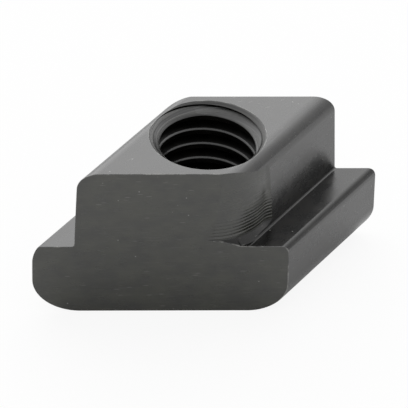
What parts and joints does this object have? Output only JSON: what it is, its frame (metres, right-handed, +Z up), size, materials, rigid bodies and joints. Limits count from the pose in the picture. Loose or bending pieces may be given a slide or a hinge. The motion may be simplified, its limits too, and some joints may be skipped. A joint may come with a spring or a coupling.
{
  "type": "t slot nut",
  "caption": "Rhombus T-slot nut that drops into a slot, turns to jam and takes an M8 bolt in a countersunk through thread; blackened steel.",
  "frame": {"origin": "on the thread's axis, in the plane of the base", "axes": "+X along the slot, +Y across the slot, +Z up out of the slot, along the bolt"},
  "size_m": [0.022, 0.0148, 0.012],
  "materials": {
    "black_steel": "black oxide, lightly oiled, satin; saw marks on the end faces and milling marks on the two cut-back corners"
  },
  "bodies": {
    "root": {"t_slot_nut": "black_steel"}
  },
  "joints": []
}
